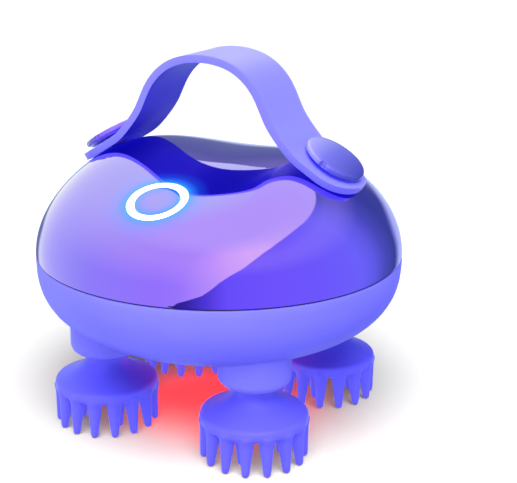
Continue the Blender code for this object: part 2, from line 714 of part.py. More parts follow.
def make_lamp():
    lens = ((0, 30.9), (LENS_RADIUS + 2, 30.9), (LENS_RADIUS + 2, 29.9), (LENS_RADIUS, 29.9),
            (LENS_RADIUS, 27.6), (8, 26.7), (4, 26.3), (0, 26.2))
    turned("lamp_lens", lens, "red_lens")
    board = cylinder("led_board", 12.0, 33.0, 34.2, "board_green", steps=24)
    for index, (x, y) in enumerate(circle(6.0, count=6)):
        unite(board, box(f"led_{index}", (x - 1.2, y - 1.2, 31.8), (x + 1.2, y + 1.2, 33.4)))


def make_charging_socket():
    port = box("charging_port", (-4.9, 49.6, PORT_Z - 2.1), (4.9, 56.0, PORT_Z + 2.1), "steel")
    cut(port, box("port_mouth", (-4.3, 51.0, PORT_Z - 1.5), (4.3, 58, PORT_Z + 1.5)))
    box("charge_board", (-7, 47.4, PORT_Z - 3.6), (7, 54.4, PORT_Z - 2.4), "board_green")
    plug = box("port_plug", (-6.4, 56.4, PORT_Z - 3.4), (6.4, 58.9, PORT_Z + 3.4), "soft_violet",
               bevel=1.1)
    unite(plug, box("plug_tongue", (-3.9, 51.6, PORT_Z - 1.1), (3.9, 57.5, PORT_Z + 1.1)))


def make_case_screws():
    low = SCREW_HEAD_Z
    screw = ((0, SEAM_Z + 13), (1.45, SEAM_Z + 13), (1.45, low + 2), (2.8, low + 2), (2.8, low), (0, low))
    for index, (x, y) in enumerate(CASE_SCREWS):
        turned(f"case_screw_{index + 1}", screw, "steel", (x, y, 0), steps=10)


clear_scene()
PARTS = new_collection("scalp_massager_brush")
CUTTERS = new_collection("cutters")
MATERIALS = make_materials()
make_upper_shell()
make_lower_shell()
make_seam_gasket()
make_strap()
make_strap_fasteners()
make_button()
make_heads()
make_spindles()
make_drive()
make_motor()
make_gear_plates()
make_battery()
make_lamp()
make_charging_socket()
make_case_screws()
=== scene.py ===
"""Looks of the scalp massager brush: fine surfaces, materials, studio and camera.

Lengths below are in millimetres unless a name says otherwise, and MM turns them into metres.
The shapes repeat the CAD model's formulas at a finer step, and ride on the CAD bodies.
"""
import json
import math

import bmesh
import bpy
from mathutils import Matrix, Vector


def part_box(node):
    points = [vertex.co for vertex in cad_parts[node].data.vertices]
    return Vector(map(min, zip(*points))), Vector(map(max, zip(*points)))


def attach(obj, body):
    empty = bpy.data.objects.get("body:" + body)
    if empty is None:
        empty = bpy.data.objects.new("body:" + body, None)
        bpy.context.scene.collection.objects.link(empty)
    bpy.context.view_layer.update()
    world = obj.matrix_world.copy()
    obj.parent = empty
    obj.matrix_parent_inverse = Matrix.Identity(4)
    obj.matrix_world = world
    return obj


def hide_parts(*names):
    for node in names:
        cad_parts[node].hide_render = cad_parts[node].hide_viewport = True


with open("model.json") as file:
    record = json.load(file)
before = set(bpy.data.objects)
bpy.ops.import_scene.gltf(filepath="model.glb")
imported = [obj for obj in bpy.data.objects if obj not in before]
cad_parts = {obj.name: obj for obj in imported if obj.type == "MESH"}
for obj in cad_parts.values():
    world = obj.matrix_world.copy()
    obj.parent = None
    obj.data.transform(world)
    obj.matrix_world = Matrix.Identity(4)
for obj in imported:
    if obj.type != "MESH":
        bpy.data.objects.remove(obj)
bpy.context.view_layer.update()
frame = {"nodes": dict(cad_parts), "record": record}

MM = 0.001

# Body shells: the dome and the bowl are superellipses turned about Z, and the dome is bent
# into a saddle that rises under the strap's ends
BODY_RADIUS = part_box("upper_shell")[1].x / MM
SEAM_Z = 56.5
SEAM_HALF = 0.17
WALL = 2.2
DOME_HEIGHT = 33.8
DOME_RADIAL_POWER = 2.58
DOME_HEIGHT_POWER = 2.0
SADDLE_RISE = 19.75
BOWL_DEPTH = 29.3
BOWL_RADIAL_POWER = 2.63
BOWL_HEIGHT_POWER = 2.85
SHELL_STEPS = 256
BOWL_STEPS = 192
SHELL_RINGS = 56
# The shells' meeting edges, as (inset from the body's side, distance from the seam)
UPPER_LIP = ((0, 0.6), (0.06, 0.36), (0.3, SEAM_HALF), (WALL, SEAM_HALF))
LOWER_LIP = ((WALL, SEAM_HALF), (0.4, SEAM_HALF), (0.08, 0.45), (0, 0.8))
SEAM_RING_INSET = 0.35
SEAM_RING_OVERLAP = 0.2
SEAM_RING_GAP = 0.02

# Spindle collars, and the bores through them and the bowl
COLLAR_RADIUS = 11.5
COLLAR_ROUND = 3.0
COLLAR_BOTTOM_Z = 24.6
COLLAR_TOP_Z = 37.2
CUT_LOW_Z = 20.0
BUSH_BORE = 5.4
BUSH_BORE_TOP_Z = 40.0
SEAL_BORE = 6.8
SEAL_BORE_TOP_Z = 27.6
SEAL_BORE_LOW_Z = 25.1
MOUTH_RADIUS = 7.3
MOUTH_Z = 24.5
SCREW_WELL_RADIUS = 3.2
SCREW_WELL_TOP_Z = 48.0
CASE_SCREWS = tuple((sx * 44.4, sy * 11.9) for sx in (1, -1) for sy in (1, -1))

# Heads; outlines are (radius, z) and run down their outer sides
HEAD_RADIUS = 17.0
HEAD_FACE_Z = 11.8
HEAD_RIM_Z = 15.4
NECK_RADIUS = 6.3
NECK_TOP_Z = 24.0
OUTER_PRONGS = 15
INNER_PRONGS = 6
OUTER_BASE_RADIUS = 14.6
OUTER_TIP_RADIUS = 15.9
INNER_RING_RADIUS = 8.4
PRONG_TIP = 1.3
PRONG_ROOT = ((0, 13.2), (3.1, 13.2), (2.75, HEAD_FACE_Z), (2.4, HEAD_FACE_Z - 1.1),
              (2.2, HEAD_FACE_Z - 2.6))
FLARE_TOP_Z = NECK_TOP_Z - 0.7
FLARE_POWER = 2.1
HUB_POCKET = ((0, 14.3), (8.3, 14.3), (8.3, 16.7), (5.3, 17.3), (5.3, NECK_TOP_Z - 0.5),
              (5.7, NECK_TOP_Z))
HUB_OUTLINE = ((0, 23.6), (5.0, 23.6), (5.0, 17.0), (8.0, 16.4), (8.0, 14.6), (0, 14.6))
HUB_SOCKET = ((0, 25.0), (3.4, 25.0), (3.4, 14.9), (0, 14.9))
HEAD_VOXEL = 0.4

# Spindles
SHAFT_RADIUS = 2.5
SHAFT_LOW_Z = 22.0
SHAFT_TOP_Z = 50.3
HEX_RADIUS = 3.1
HEX_TOP_Z = 24.2
SPINDLE_END_Z = 15.2
SEAL_OUTLINE = ((SHAFT_RADIUS + 0.3, 27.3), (6.5, 27.3), (6.5, 25.0), (4.4, 25.0),
                (SHAFT_RADIUS + 0.3, 26.2))

# Strap and caps
STRAP_HALF_WIDTH = 12.0
STRAP_THICKNESS = 2.4
STRAP_LIFT = 0.4
STRAP_STEPS = 16
STRAP_EDGE = 0.8
PAD_SAG = 0.9
CAP_X = 38.3
CAP_TILT = math.radians(31.5)
CAP_RADIUS = 10.0
CAP_GAP = 0.35
CAP_TOP = 2.5
CAP_CROWN = 0.35
CAP_ROUND = 0.7
CAP_FOOT_INSET = 1.2
STUD_RADIUS = 3.0
STUD_HOLE = 3.3
STUD_LENGTH = 9.4
NOTCH_RADIUS = 1.1
NOTCH_RISE = 1.7
# The strap's middle line from its top down to one pad, as (x, z)
ARCH = ((0.0, 120.3), (7.2, 119.5), (12.6, 117.2), (16.7, 113.8), (19.6, 109.9),
        (21.7, 105.3), (23.9, 101.0), (26.8, 97.4))

# Button and light ring
BUTTON_Y = -38.3
BUTTON_RADIUS = 7.0
BUTTON_RISE = 0.05
BUTTON_SKIRT = 3.2
STEM_RADIUS = 2.0
STEM_DEPTH = 6.0
RING_INNER = 7.3
RING_OUTER = 9.5
RING_RISE = 0.22
RING_DEPTH = 4.6
RING_GAP = 0.08

# Lamp lens
LENS_RADIUS = 11.6
LENS_GAP = 0.3
LENS_FLANGE = 2.0
LENS_TOP_Z = 30.9
LENS_FLANGE_Z = 29.9
LENS_SIDE_Z = 27.8
LENS_BULGE = 1.6
LAMP_Z = 25.9

# Charging socket and its plug about the line at PORT_Z: (half width, half height, near Y, far Y)
PORT_Z = 48.0
PORT_HOLE = (6.6, 3.6, 52.0, 64.0)
PLUG_FACE = (6.3, 3.3, 56.4, 61.0)
PLUG_TONGUE = (3.9, 1.1, 51.6, 57.5)
SOCKET = (4.9, 2.1, 49.6, 56.0)
SOCKET_MOUTH = (4.3, 1.5, 51.0, 58.0)

SIDES = {"left": -1, "right": 1}
# The heads by name, with the middle of each one's CAD box
HEADS = {name[len("massage_head_"):]: (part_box(name)[0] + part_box(name)[1]) / 2 / MM
         for name in sorted(frame["nodes"]) if name.startswith("massage_head_")}


# Mesh helpers

def link(name, mesh):
    obj = bpy.data.objects.new(name, mesh)
    bpy.context.scene.collection.objects.link(obj)
    return obj


def bake(obj, angle=32):
    """Give an object its evaluated shape as a plain smooth mesh with sharp corners."""
    bpy.context.view_layer.update()
    graph = bpy.context.evaluated_depsgraph_get()
    mesh = bpy.data.meshes.new_from_object(obj.evaluated_get(graph))
    obj.modifiers.clear()
    obj.data = mesh
    mesh.shade_smooth()
    mesh.set_sharp_from_angle(angle=math.radians(angle))
    return obj


def turned(name, profile, steps=64, ring=False, at=(0, 0, 0), turn=None, angle=32):
    """A profile of (radius, z), run down its outer side, turned about the local Z axis."""
    count = len(profile)
    edges = [(i, i + 1) for i in range(count - 1)]
    if ring:
        edges.append((count - 1, 0))
    mesh = bpy.data.meshes.new(name)
    mesh.from_pydata([(r * MM, 0, z * MM) for r, z in profile], edges, [])
    obj = link(name, mesh)
    screw = obj.modifiers.new("turn", "SCREW")
    screw.steps = screw.render_steps = steps
    screw.use_merge_vertices = True
    screw.merge_threshold = 1e-6
    bake(obj, angle)
    place = Matrix.Translation(Vector(at) * MM)
    if turn is not None:
        place = place @ turn.to_4x4()
    obj.data.transform(place)
    return obj


def cylinder(name, radius, low, high, steps=48, at=(0, 0, 0), turn=None):
    return turned(name, ((0, high), (radius, high), (radius, low), (0, low)), steps, at=at, turn=turn)


def box(name, low, high, bevel=0.0, segments=3):
    mesh = bpy.data.meshes.new(name)
    work = bmesh.new()
    bmesh.ops.create_cube(work, size=1.0)
    size, middle = (Vector(high) - Vector(low)) * MM, (Vector(high) + Vector(low)) * MM / 2
    for vert in work.verts:
        vert.co = Vector((vert.co[i] * size[i] for i in range(3))) + middle
    work.to_mesh(mesh)
    work.free()
    obj = link(name, mesh)
    if bevel:
        edge = obj.modifiers.new("round", "BEVEL")
        edge.width = bevel * MM
        edge.segments = segments
    return bake(obj)


def boolean(obj, others, operation):
    """Apply one Boolean for each of the other objects, which are then dropped."""
    for other in others:
        modifier = obj.modifiers.new("join", "BOOLEAN")
        modifier.operation = operation
        modifier.object = other
    bake(obj)
    for other in others:
        bpy.data.objects.remove(other)
    return obj


def joined(name, objects):
    """One object that holds the meshes of several, which are then dropped."""
    work = bmesh.new()
    for obj in objects:
        work.from_mesh(obj.data)
        bpy.data.objects.remove(obj)
    mesh = bpy.data.meshes.new(name)
    work.to_mesh(mesh)
    work.free()
    return link(name, mesh)


def mesh_of(obj):
    """The object's mesh alone; the object itself is dropped."""
    mesh = obj.data
    bpy.data.objects.remove(obj)
    return mesh


def arc(centre, radius, start, end, count):
    """Points of an arc in (radius, z), from one angle in degrees to another."""
    points = []
    for i in range(count + 1):
        angle = math.radians(start + (end - start) * i / count)
        points.append((centre[0] + radius * math.cos(angle), centre[1] + radius * math.sin(angle)))
    return points


def rounded(profile, radius, count=3):
    """The same profile with its inner corners cut by short curves."""
    points = [profile[0]]
    for before, corner, after in zip(profile, profile[1:], profile[2:]):
        c = Vector(corner)
        to_before, to_after = Vector(before) - c, Vector(after) - c
        reach = min(radius, to_before.length * 0.45, to_after.length * 0.45)
        start, end = c + to_before.normalized() * reach, c + to_after.normalized() * reach
        for i in range(count + 1):
            t = i / count
            points.append(tuple(start.lerp(c, t).lerp(c.lerp(end, t), t)))
    points.append(profile[-1])
    return points


# Shell surfaces

def superellipse(width, height, radial_power, height_power, count):
    points = []
    for i in range(count + 1):
        angle = math.pi / 2 * i / count
        points.append((width * math.sin(angle) ** (2 / radial_power),
                       height * max(math.cos(angle), 0.0) ** (2 / height_power)))
    return points


def saddle(x, y):
    fade = max(1 - (x * x + y * y) / BODY_RADIUS ** 2, 0.0)
    return SADDLE_RISE * (x * x - y * y) / BODY_RADIUS ** 2 * fade ** 2


def dome_point(x, y):
    ratio = min(math.hypot(x, y) / BODY_RADIUS, 1.0)
    rise = DOME_HEIGHT * (1 - ratio ** DOME_RADIAL_POWER) ** (1 / DOME_HEIGHT_POWER)
    return Vector((x, y, SEAM_Z + rise + saddle(x, y)))


def dome_normal(x, y):
    step = 0.01
    along_x = dome_point(x + step, y) - dome_point(x - step, y)
    along_y = dome_point(x, y + step) - dome_point(x, y - step)
    return along_x.cross(along_y).normalized()


def bowl_z(radius):
    inside = max(1 - (radius / BODY_RADIUS) ** BOWL_RADIAL_POWER, 0.0)
    return SEAM_Z - BOWL_DEPTH * inside ** (1 / BOWL_HEIGHT_POWER)


def bowl_normal(x, y):
    radius = max(math.hypot(x, y), 0.01)
    slope = (bowl_z(radius + 0.01) - bowl_z(radius - 0.01)) / 0.02
    return Vector((x / radius * slope, y / radius * slope, -1)).normalized()


def facing(normal):
    return normal.to_track_quat("Z", "Y").to_matrix()


def set_surface_normals(obj, surface_z, surface_normal):
    """Shade the faces that lie on a formula's surface with that surface's own normals."""
    mesh = obj.data
    normals = [Vector((0, 0, 0))] * len(mesh.loops)
    for face in mesh.polygons:
        if face.normal.length < 0.5:
            continue
        for loop in face.loop_indices:
            place = mesh.vertices[mesh.loops[loop].vertex_index].co / MM
            radius = math.hypot(place.x, place.y)
            if radius > BODY_RADIUS - 0.08 or abs(place.z - surface_z(place.x, place.y)) > 0.03:
                continue
            exact = surface_normal(place.x, place.y)
            if exact.dot(face.normal) > 0.9:
                normals[loop] = exact
    mesh.normals_split_custom_set(normals)


def make_upper_shell():
    outer = [(r, SEAM_Z + z) for r, z in
             superellipse(BODY_RADIUS, DOME_HEIGHT, DOME_RADIAL_POWER, DOME_HEIGHT_POWER, SHELL_RINGS)]
    inner = [(r, SEAM_Z + z) for r, z in
             superellipse(BODY_RADIUS - WALL, DOME_HEIGHT - WALL, DOME_RADIAL_POWER, DOME_HEIGHT_POWER, 24)]
    lip = [(BODY_RADIUS - inset, SEAM_Z + rise) for inset, rise in UPPER_LIP]
    shell = turned("dome_skin", outer[:-1] + lip + inner[-2::-1], SHELL_STEPS)
    for vert in shell.data.vertices:
        vert.co.z += saddle(vert.co.x / MM, vert.co.y / MM) * MM
    shell.data.update()
    button_turn = facing(dome_normal(0, BUTTON_Y))
    holes = [cylinder("hole", RING_OUTER + RING_GAP, -9, 9, 96, dome_point(0, BUTTON_Y), button_turn)]
    for side in SIDES.values():
        foot, normal, _ = pad_axes(side)
        holes.append(cylinder("hole", STUD_HOLE, -6, 6, 32, foot, facing(normal)))
    boolean(shell, holes, "DIFFERENCE")
    set_surface_normals(shell, lambda x, y: dome_point(x, y).z, dome_normal)
    return shell


def bore_profile():
    """Stepped bore for a spindle's bush and seal, open at the collar's mouth."""
    return ((0, BUSH_BORE_TOP_Z), (BUSH_BORE, BUSH_BORE_TOP_Z), (BUSH_BORE, SEAL_BORE_TOP_Z),
            (SEAL_BORE, SEAL_BORE_TOP_Z), (SEAL_BORE, SEAL_BORE_LOW_Z), (MOUTH_RADIUS, MOUTH_Z),
            (MOUTH_RADIUS, CUT_LOW_Z), (0, CUT_LOW_Z))


def make_lower_shell():
    outer = [(r, SEAM_Z - z) for r, z in
             superellipse(BODY_RADIUS, BOWL_DEPTH, BOWL_RADIAL_POWER, BOWL_HEIGHT_POWER, 44)]
    inner = [(r, SEAM_Z - z) for r, z in
             superellipse(BODY_RADIUS - WALL, BOWL_DEPTH - WALL, BOWL_RADIAL_POWER, BOWL_HEIGHT_POWER, 20)]
    lip = [(BODY_RADIUS - inset, SEAM_Z - drop) for inset, drop in LOWER_LIP]
    shell = turned("bowl_skin", inner[:-1] + lip + outer[-2::-1], BOWL_STEPS)
    round_z = COLLAR_BOTTOM_Z + COLLAR_ROUND
    collars, bores = [], []
    for place in HEADS.values():
        at = (place.x, place.y, 0)
        wall = [(0, COLLAR_TOP_Z), (COLLAR_RADIUS, COLLAR_TOP_Z), (COLLAR_RADIUS, round_z)]
        foot = arc((COLLAR_RADIUS - COLLAR_ROUND, round_z), COLLAR_ROUND, 0, -90, 8)
        collars.append(turned("collar", wall + foot + [(0, COLLAR_BOTTOM_Z)], 72, at=at))
        bores.append(turned("bore", bore_profile(), 56, at=at))
    boolean(shell, collars, "UNION")
    bores += [cylinder("well", SCREW_WELL_RADIUS, CUT_LOW_Z, SCREW_WELL_TOP_Z, 32, (x, y, 0))
              for x, y in CASE_SCREWS]
    bores.append(cylinder("lens_hole", LENS_RADIUS + LENS_GAP, CUT_LOW_Z, 32, 72))
    bores.append(port_box("port_hole", PORT_HOLE, 1.6, 4))
    boolean(shell, bores, "DIFFERENCE")
    set_surface_normals(shell, lambda x, y: bowl_z(math.hypot(x, y)), bowl_normal)
    return shell


def make_seam_ring():
    low, high = SEAM_Z - SEAM_HALF + SEAM_RING_GAP, SEAM_Z + SEAM_HALF - SEAM_RING_GAP
    inner, outer = BODY_RADIUS - WALL + SEAM_RING_OVERLAP, BODY_RADIUS - SEAM_RING_INSET
    profile = ((inner, high), (outer, high), (outer, low), (inner, low))
    return turned("seam_ring", profile, BOWL_STEPS, ring=True)


# Strap handle and caps

def pad_axes(side):
    foot = dome_point(side * CAP_X, 0)
    normal = Vector((side * math.sin(CAP_TILT), 0, math.cos(CAP_TILT)))
    outward = Vector((side * math.cos(CAP_TILT), 0, -math.sin(CAP_TILT)))
    return foot, normal, outward


def pad_point(side, along, y):
    foot, normal, outward = pad_axes(side)
    point = foot + outward * along + normal * (STRAP_LIFT + STRAP_THICKNESS / 2)
    drop = dome_point(point.x, 0).z - dome_point(point.x, y).z
    return point + Vector((0, y, -PAD_SAG * drop))


def smooth_line(points, parts):
    """Catmull-Rom curve through points, with a number of parts for each stretch."""
    line = []
    for i in range(len(points) - 1):
        p1, p2 = points[i], points[i + 1]
        p0 = points[i - 1] if i else 2 * p1 - p2
        p3 = points[i + 2] if i + 2 < len(points) else 2 * p2 - p1
        for j in range(parts):
            t = j / parts
            line.append(0.5 * (2 * p1 + (p2 - p0) * t + (2 * p0 - 5 * p1 + 4 * p2 - p3) * t ** 2
                               + (3 * p1 - p0 - 3 * p2 + p3) * t ** 3))
    line.append(points[-1])
    return line


def relaxed(line, passes):
    """The same line with its small kinks smoothed out, between ends that stay."""
    for _ in range(passes):
        inner = [(a + 2 * b + c) / 4 for a, b, c in zip(line, line[1:], line[2:])]
        line = [line[0]] + inner + [line[-1]]
    return line


def strap_column(across):
    """One line along the whole strap; across runs from -1 at the front edge to 1 at the back."""
    width = across * STRAP_HALF_WIDTH
    left = [Vector((-x, width, z)) for x, z in reversed(ARCH)]
    right = [Vector((x, width, z)) for x, z in ARCH[1:]]
    pads = {side: [pad_point(side, along, width) for along in (-9.5, -5.0, 0.0)] for side in (-1, 1)}
    line = relaxed(smooth_line(pads[-1][::-1] + left + right + pads[1], 5), 12)
    ends = {-1: [], 1: []}
    for side, end in ends.items():
        for degrees in range(9, 90, 9):
            angle = math.radians(degrees)
            end.append(pad_point(side, STRAP_HALF_WIDTH * math.sin(angle), width * math.cos(angle)))
    return ends[-1][::-1] + line + ends[1]


def make_strap():
    columns = [strap_column(2 * i / STRAP_STEPS - 1) for i in range(STRAP_STEPS + 1)]
    rows = len(columns[0])
    faces = []
    for column in range(STRAP_STEPS):
        for row in range(rows - 1):
            first = column * rows + row
            faces.append((first, first + 1, first + rows + 1, first + rows))
    mesh = bpy.data.meshes.new("strap")
    mesh.from_pydata([point * MM for column in columns for point in column], [], faces)
    strap = link("strap", mesh)
    band = strap.modifiers.new("thickness", "SOLIDIFY")
    band.thickness = STRAP_THICKNESS * MM
    band.offset = 0
    band.use_even_offset = True
    edge = strap.modifiers.new("edge", "BEVEL")
    edge.width = STRAP_EDGE * MM
    edge.segments = 4
    edge.limit_method = "ANGLE"
    edge.angle_limit = math.radians(50)
    return bake(strap, 60)


def make_cap(name, side):
    """Glossy disc on a smaller foot, with a stud through the strap and the dome."""
    seat = STRAP_LIFT + STRAP_THICKNESS + CAP_GAP
    foot, normal, _ = pad_axes(side)
    crown = [(r, CAP_TOP - CAP_CROWN * (r / CAP_RADIUS) ** 2) for r in (0, 2.5, 5, 7, 8.5)]
    rim = arc((CAP_RADIUS - CAP_ROUND, CAP_TOP - CAP_CROWN - CAP_ROUND), CAP_ROUND, 80, 0, 6)
    under = [(CAP_RADIUS, 0.75), (CAP_RADIUS - 0.25, 0.5)]
    disc_foot = [(CAP_RADIUS - CAP_FOOT_INSET, 0.5), (CAP_RADIUS - CAP_FOOT_INSET, 0)]
    stud = [(STUD_RADIUS, 0), (STUD_RADIUS, -STUD_LENGTH), (0, -STUD_LENGTH)]
    cap = turned("cap_" + name, crown + rim + under + disc_foot + stud, 96,
                 at=foot + normal * seat, turn=facing(normal))
    front = foot + normal * (seat + NOTCH_RISE) - Vector((0, CAP_RADIUS, 0))
    notch = cylinder("notch", NOTCH_RADIUS, -NOTCH_RADIUS, NOTCH_RADIUS, 32, front, facing(normal))
    return boolean(cap, [notch], "DIFFERENCE")


# Button and light ring

def on_dome(u, v, lift):
    """The point over (u, v) of the button's own plane that stands a height above the dome."""
    foot, turn = dome_point(0, BUTTON_Y), facing(dome_normal(0, BUTTON_Y))
    start, axis = foot + turn @ Vector((u, v, 0)), turn @ Vector((0, 0, 1))
    rise = 0.0
    for _ in range(6):
        place = start + axis * rise
        rise += (dome_point(place.x, place.y).z - place.z) / axis.z
    return start + axis * (rise + lift)


def lofted(name, profile, steps, ring):
    """A closed profile of (radius, height over the dome) carried round the button's axis."""
    work = bmesh.new()
    loops = []
    for i in range(steps):
        angle = 2 * math.pi * i / steps
        loops.append([work.verts.new(on_dome(r * math.cos(angle), r * math.sin(angle), h) * MM)
                      for r, h in profile])
    count = len(profile)
    for i in range(steps):
        here, there = loops[i], loops[(i + 1) % steps]
        for j in range(count if ring else count - 1):
            k = (j + 1) % count
            work.faces.new((here[j], here[k], there[k], there[j]))
    bmesh.ops.remove_doubles(work, verts=work.verts, dist=1e-7)
    bmesh.ops.recalc_face_normals(work, faces=work.faces)
    mesh = bpy.data.meshes.new(name)
    work.to_mesh(mesh)
    work.free()
    return bake(link(name, mesh), 40)


def make_light_ring():
    half = [(0, -RING_DEPTH), (0, -0.1), (0.15, 0.12), (0.5, RING_RISE)]
    profile = [(RING_INNER + inset, height) for inset, height in half]
    profile += [(RING_OUTER - inset, height) for inset, height in reversed(half)]
    return lofted("light_ring", profile, 96, True)


def make_button():
    crown = [(r, BUTTON_RISE) for r in (0, 1.5, 3.0, 4.5, 5.7, 6.4)]
    edge = [(BUTTON_RADIUS - 0.15, 0.0), (BUTTON_RADIUS, -0.2), (BUTTON_RADIUS, -BUTTON_SKIRT)]
    stem = [(STEM_RADIUS, -BUTTON_SKIRT), (STEM_RADIUS, -STEM_DEPTH), (0, -STEM_DEPTH)]
    return lofted("push_button", crown + edge + stem, 96, False)


# Massage heads and spindles

def head_body_profile():
    """Outer line of a head and the pocket for its hub, run from the pocket's floor."""
    widening = HEAD_RADIUS - 0.8 - NECK_RADIUS
    flare = []
    count = 18
    for i in range(count + 1):
        t = i / count
        flare.append((NECK_RADIUS + widening * t ** FLARE_POWER,
                      FLARE_TOP_Z - (FLARE_TOP_Z - HEAD_RIM_Z) * t))
    side = arc((HEAD_RADIUS - 1.2, HEAD_RIM_Z - 1.2), 1.2, 50, 0, 5)
    base = arc((HEAD_RADIUS - 0.9, HEAD_FACE_Z + 0.9), 0.9, 0, -90, 5)
    return [*HUB_POCKET, (NECK_RADIUS - 0.4, NECK_TOP_Z), *flare, *side, *base, (0, HEAD_FACE_Z)]


def prong_profile():
    """A tapered finger with a flared root and a round tip, standing on z = 0."""
    return [*PRONG_ROOT, (PRONG_TIP, PRONG_TIP + 0.2), *arc((0, PRONG_TIP), PRONG_TIP, 5, -90, 6)]


def prong_places():
    lean = (OUTER_BASE_RADIUS - OUTER_TIP_RADIUS) / HEAD_FACE_Z
    shear = Matrix(((1, 0, lean, 0), (0, 1, 0, 0), (0, 0, 1, 0), (0, 0, 0, 1)))
    places = []
    for i in range(OUTER_PRONGS):
        turn = Matrix.Rotation(2 * math.pi * i / OUTER_PRONGS, 4, "Z")
        places.append(turn @ Matrix.Translation((OUTER_TIP_RADIUS * MM, 0, 0)) @ shear)
    for i in range(INNER_PRONGS):
        turn = Matrix.Rotation(2 * math.pi * (i + 0.5) / INNER_PRONGS, 4, "Z")
        places.append(turn @ Matrix.Translation((INNER_RING_RADIUS * MM, 0, 0)))
    return places


def make_head_mesh():
    """Body and prongs melted into one soft moulding, about the head's own axis."""
    pieces = [turned("head_body", head_body_profile(), 120)]
    pattern = turned("prong", prong_profile(), 20)
    for place in prong_places():
        mesh = pattern.data.copy()
        mesh.transform(place)
        pieces.append(link("prong_copy", mesh))
    bpy.data.objects.remove(pattern)
    head = joined("head", pieces)
    melt = head.modifiers.new("melt", "REMESH")
    melt.mode = "VOXEL"
    melt.voxel_size = HEAD_VOXEL * MM
    soften = head.modifiers.new("soften", "SMOOTH")
    soften.factor = 0.5
    soften.iterations = 5
    bake(head, 180)
    return mesh_of(head)


def make_hub_mesh():
    hub = turned("hub", rounded(HUB_OUTLINE, 0.3), 48)
    boolean(hub, [turned("socket", HUB_SOCKET, 6)], "DIFFERENCE")
    return mesh_of(hub)


def make_shaft_mesh():
    round_part = ((0, SHAFT_TOP_Z), (SHAFT_RADIUS - 0.4, SHAFT_TOP_Z), (SHAFT_RADIUS, SHAFT_TOP_Z - 0.4),
                  (SHAFT_RADIUS, SHAFT_LOW_Z), (0, SHAFT_LOW_Z))
    shaft = turned("shaft", round_part, 48)
    hexagon = ((0, HEX_TOP_Z), (HEX_RADIUS - 0.3, HEX_TOP_Z), (HEX_RADIUS, HEX_TOP_Z - 0.3),
               (HEX_RADIUS, SPINDLE_END_Z + 0.5), (HEX_RADIUS - 0.5, SPINDLE_END_Z), (0, SPINDLE_END_Z))
    boolean(shaft, [turned("hexagon", hexagon, 6)], "UNION")
    return mesh_of(shaft)


def make_seal_mesh():
    seal = turned("seal", rounded(SEAL_OUTLINE, 0.3), 56, ring=True)
    return mesh_of(seal)


# Lamp and charging socket

def make_lens():
    flange = LENS_RADIUS + LENS_FLANGE
    profile = [(0, LENS_TOP_Z), (flange, LENS_TOP_Z), (flange, LENS_FLANGE_Z), (LENS_RADIUS, LENS_FLANGE_Z)]
    for i in range(13):
        angle = math.pi / 2 * i / 12
        profile.append((LENS_RADIUS * math.cos(angle), LENS_SIDE_Z - LENS_BULGE * math.sin(angle)))
    return turned("lens", profile, 96)


def port_box(name, sizes, bevel, segments=3):
    """A box through the back wall, centred on the charging socket's line."""
    width, height, near_y, far_y = sizes
    return box(name, (-width, near_y, PORT_Z - height), (width, far_y, PORT_Z + height), bevel, segments)


def make_plug():
    plug = port_box("plug", PLUG_FACE, 1.3, 4)
    outline = [(r, SEAM_Z - z) for r, z in superellipse(
        BODY_RADIUS - 0.05, BOWL_DEPTH, BOWL_RADIAL_POWER, BOWL_HEIGHT_POWER, 30)]
    limit = turned("limit", [(0, SEAM_Z)] + outline[::-1], BOWL_STEPS)
    boolean(plug, [limit], "INTERSECT")
    return boolean(plug, [port_box("tongue", PLUG_TONGUE, 0.4)], "UNION")


def make_port():
    port = port_box("port", SOCKET, 1.0, 4)
    return boolean(port, [port_box("mouth", SOCKET_MOUTH, 0.6)], "DIFFERENCE")


# Materials

def fill_ramp(ramp, stops, curve="LINEAR"):
    """Set a colour ramp's stops, each a position from 0 to 1 and a colour."""
    ramp.interpolation = curve
    while len(ramp.elements) < len(stops):
        ramp.elements.new(0.5)
    for element, (position, colour) in zip(ramp.elements, stops):
        element.position = position
        element.color = (*colour, 1.0)


